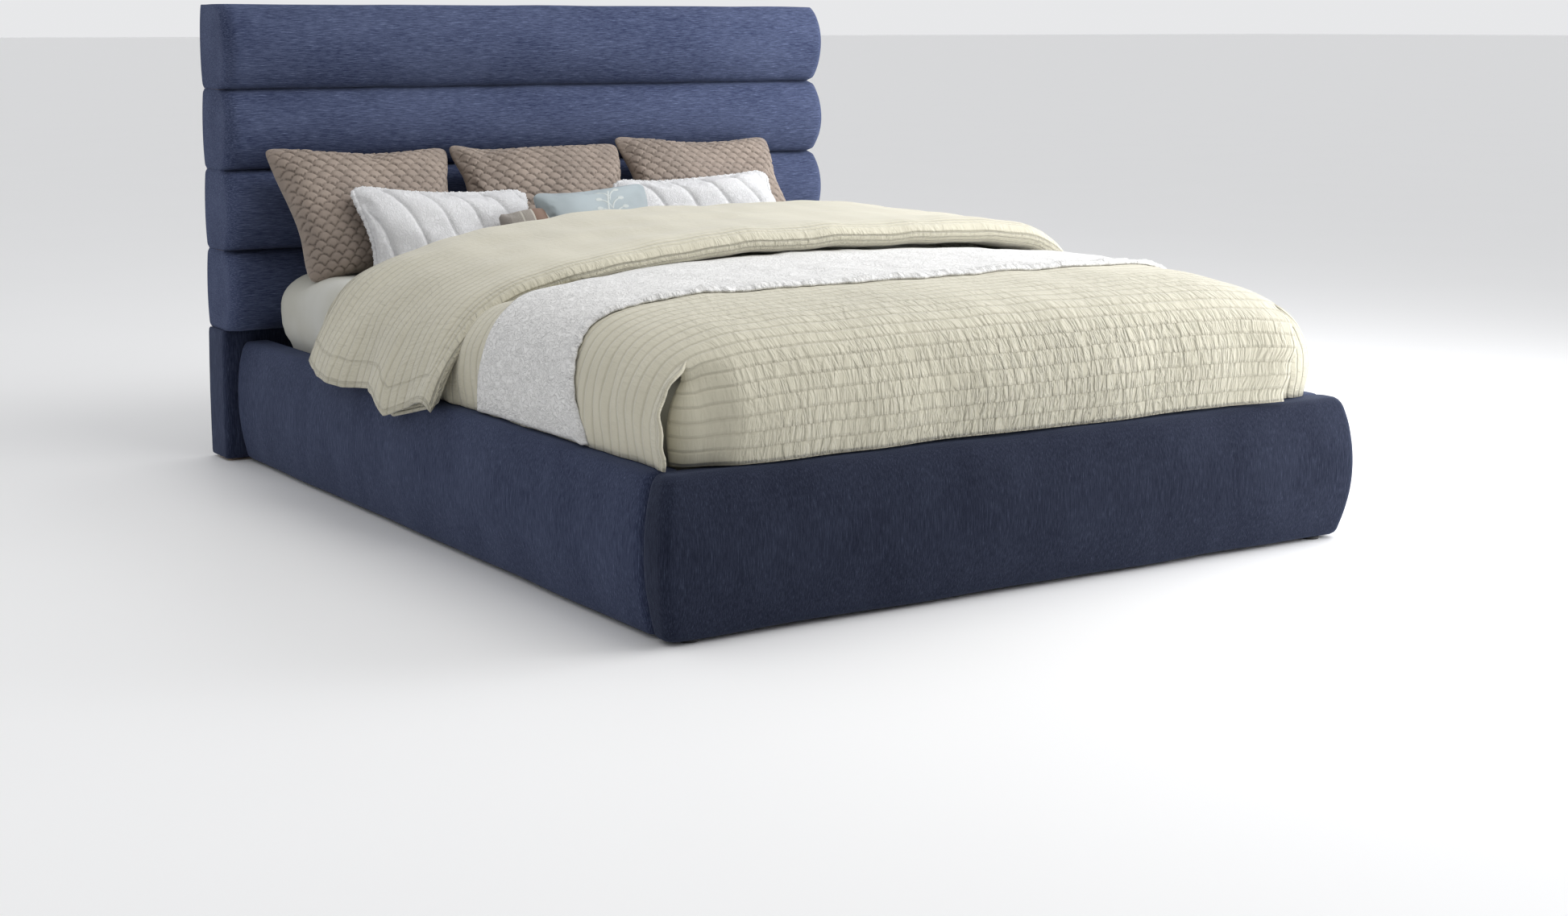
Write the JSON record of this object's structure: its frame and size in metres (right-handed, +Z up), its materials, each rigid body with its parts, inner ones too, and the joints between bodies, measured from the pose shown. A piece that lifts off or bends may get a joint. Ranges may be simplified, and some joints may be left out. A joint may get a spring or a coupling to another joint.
{
  "type": "upholstered headboard bed",
  "caption": "Double bed with a horizontally channelled upholstered headboard and padded bulging rails, dressed with mattress, pleated quilt, runner and leaning pillows.",
  "frame": {"origin": "on the floor under the middle of the bed, halfway between its sides and between its two ends", "axes": "+Z up, +Y towards the headboard, +X to the right when looking from the foot towards the headboard"},
  "size_m": [1.746, 2.252, 1.135],
  "materials": {
    "navy_chenille": "matt woven chenille with fine slubs",
    "lining": "thin matt non-woven lining",
    "pine": "sawn and planed softwood, unfinished",
    "plywood": "unfinished plywood",
    "black_steel": "black powder coat",
    "zinc": "zinc plate",
    "black_plastic": "matt moulded plastic",
    "sheet_cotton": "plain cotton",
    "quilt_cotton": "pleated seersucker cotton",
    "runner_jacquard": "raised woven pattern",
    "sham_velvet": "quilted soft pile",
    "white_cotton": "pleated cotton",
    "grey_cotton": "plain cotton with a pale embroidered sprig",
    "striped_cotton": "woven stripes"
  },
  "bodies": {
    "bed_frame": {"headboard_post_left": "pine", "headboard_post_right": "pine", "headboard_bottom_rail": "pine", "headboard_middle_rail": "pine", "headboard_top_rail": "pine", "headboard_front_board": "plywood", "headboard_back_cover": "lining", "headboard_lower_pad": "navy_chenille", "headboard_channel_1": "navy_chenille", "headboard_channel_2": "navy_chenille", "headboard_channel_3": "navy_chenille", "headboard_channel_4": "navy_chenille", "side_rail_board_left": "pine", "side_rail_pad_left": "navy_chenille", "side_rail_cleat_left": "pine", "side_rail_board_right": "pine", "side_rail_pad_right": "navy_chenille", "side_rail_cleat_right": "pine", "footboard_board": "pine", "footboard_pad": "navy_chenille", "bracket_head_left": "black_steel", "corner_bolt_head_left": "zinc", "glide_head_left": "black_plastic", "bracket_head_right": "black_steel", "corner_bolt_head_right": "zinc", "glide_head_right": "black_plastic", "bracket_foot_left": "black_steel", "corner_bolt_foot_left": "zinc", "glide_foot_left": "black_plastic", "bracket_foot_right": "black_steel", "corner_bolt_foot_right": "zinc", "glide_foot_right": "black_plastic", "centre_beam": "pine", "beam_hanger_foot": "black_steel", "beam_hanger_head": "black_steel", "centre_leg_1": "pine", "centre_leg_2": "pine", "slat_1": "pine", "slat_2": "pine", "slat_3": "pine", "slat_4": "pine", "slat_5": "pine", "slat_6": "pine", "slat_7": "pine", "slat_8": "pine", "slat_9": "pine", "slat_10": "pine"},
    "levelling_foot_1": {"levelling_foot_1": "black_plastic"},
    "levelling_foot_2": {"levelling_foot_2": "black_plastic"},
    "mattress": {"mattress": "sheet_cotton", "quilt": "quilt_cotton", "runner": "runner_jacquard"},
    "shams": {"sham_left": "sham_velvet", "sham_middle": "sham_velvet", "sham_right": "sham_velvet"},
    "white_left": {"white_pillow_left": "white_cotton"},
    "white_right": {"white_pillow_right": "white_cotton"},
    "grey": {"grey_pillow": "grey_cotton"},
    "striped": {"striped_pillow": "striped_cotton"}
  },
  "joints": [
    {"name": "mattress_lift", "type": "slide", "parent": "bed_frame", "child": "mattress", "axis": [0, 0, 1], "range_m": [0, 0.35]},
    {"name": "shams_lift", "type": "slide", "parent": "mattress", "child": "shams", "axis": [0, 0, 1], "range_m": [0, 0.25]},
    {"name": "white_left_lift", "type": "slide", "parent": "shams", "child": "white_left", "axis": [0, 0, 1], "range_m": [0, 0.2]},
    {"name": "white_right_lift", "type": "slide", "parent": "shams", "child": "white_right", "axis": [0, 0, 1], "range_m": [0, 0.2]},
    {"name": "grey_lift", "type": "slide", "parent": "white_right", "child": "grey", "axis": [0, 0, 1], "range_m": [0, 0.2]},
    {"name": "striped_lift", "type": "slide", "parent": "white_left", "child": "striped", "axis": [0, 0, 1], "range_m": [0, 0.2]},
    {"name": "foot_1_screw", "type": "slide", "parent": "bed_frame", "child": "levelling_foot_1", "axis": [0, 0, 1], "range_m": [-0.015, 0]},
    {"name": "foot_2_screw", "type": "slide", "parent": "bed_frame", "child": "levelling_foot_2", "axis": [0, 0, 1], "range_m": [-0.015, 0]}
  ]
}
